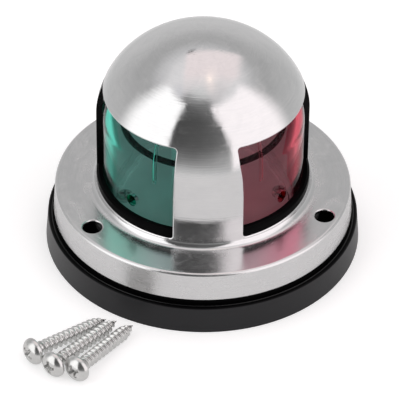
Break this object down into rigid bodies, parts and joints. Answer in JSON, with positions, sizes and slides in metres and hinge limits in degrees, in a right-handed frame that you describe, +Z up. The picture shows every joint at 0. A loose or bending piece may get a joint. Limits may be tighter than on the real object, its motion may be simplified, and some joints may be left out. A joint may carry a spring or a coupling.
{
  "type": "navigation light",
  "caption": "Bow navigation light: domed steel cover with a front pillar over green and red lens halves, on a round base with lamp and carrier, with loose mounting screws beside it.",
  "frame": {"origin": "centre of the base on the deck plane", "axes": "+Z up from the deck, -Y towards the bow where the pillar stands, -X starboard with the green lens, +X port with the red lens"},
  "size_m": [0.0863, 0.0986, 0.0604],
  "materials": {
    "stainless_cover": "satin polished sheet with fine concentric brushing",
    "frame_plastic": "glossy moulded black",
    "base_plastic": "satin moulded black",
    "carrier_plastic": "moulded black",
    "green_lens": "clear moulded plastic, tinted through",
    "red_lens": "clear moulded plastic, tinted through",
    "seal_rubber": "soft matt",
    "contact_brass": "bright stamped",
    "lead_red": "smooth insulation",
    "lead_black": "smooth insulation",
    "lead_copper": "tinned end, bright copper",
    "lamp_glass": "clear tube",
    "lamp_cap": "nickel plated",
    "filament_wire": "drawn wire",
    "screw_steel": "bright stainless"
  },
  "bodies": {
    "base": {"mounting_base": "base_plastic", "deck_gasket": "seal_rubber", "cover_seal": "seal_rubber", "frame_seal": "seal_rubber", "bulb_carrier": "carrier_plastic", "carrier_screws": "screw_steel", "contact_clip_upper": "contact_brass", "contact_clip_lower": "contact_brass", "clip_rivets": "contact_brass", "terminal_upper": "contact_brass", "terminal_lower": "contact_brass", "positive_lead_sheath": "lead_red", "positive_lead_core": "lead_copper", "negative_lead_sheath": "lead_black", "negative_lead_core": "lead_copper", "lead_grommet": "seal_rubber"},
    "cover": {"cover_shell": "stainless_cover", "lens_frame": "frame_plastic", "green_lens": "green_lens", "red_lens": "red_lens"},
    "lamp": {"bulb_glass": "lamp_glass", "bulb_cap_upper": "lamp_cap", "bulb_cap_lower": "lamp_cap", "bulb_filament": "filament_wire", "filament_supports": "filament_wire"},
    "screws": {"mounting_screws": "screw_steel"}
  },
  "joints": [
    {"name": "cover_lift", "type": "slide", "parent": "base", "child": "cover", "axis": [0, 0, 1], "range_m": [0, 0.06]},
    {"name": "lamp_release", "type": "slide", "parent": "base", "child": "lamp", "axis": [0, -1, 0], "range_m": [0, 0.0076]},
    {"name": "screws_pick_up", "type": "slide", "parent": "base", "child": "screws", "axis": [0, 0, 1], "range_m": [0, 0.08]}
  ]
}
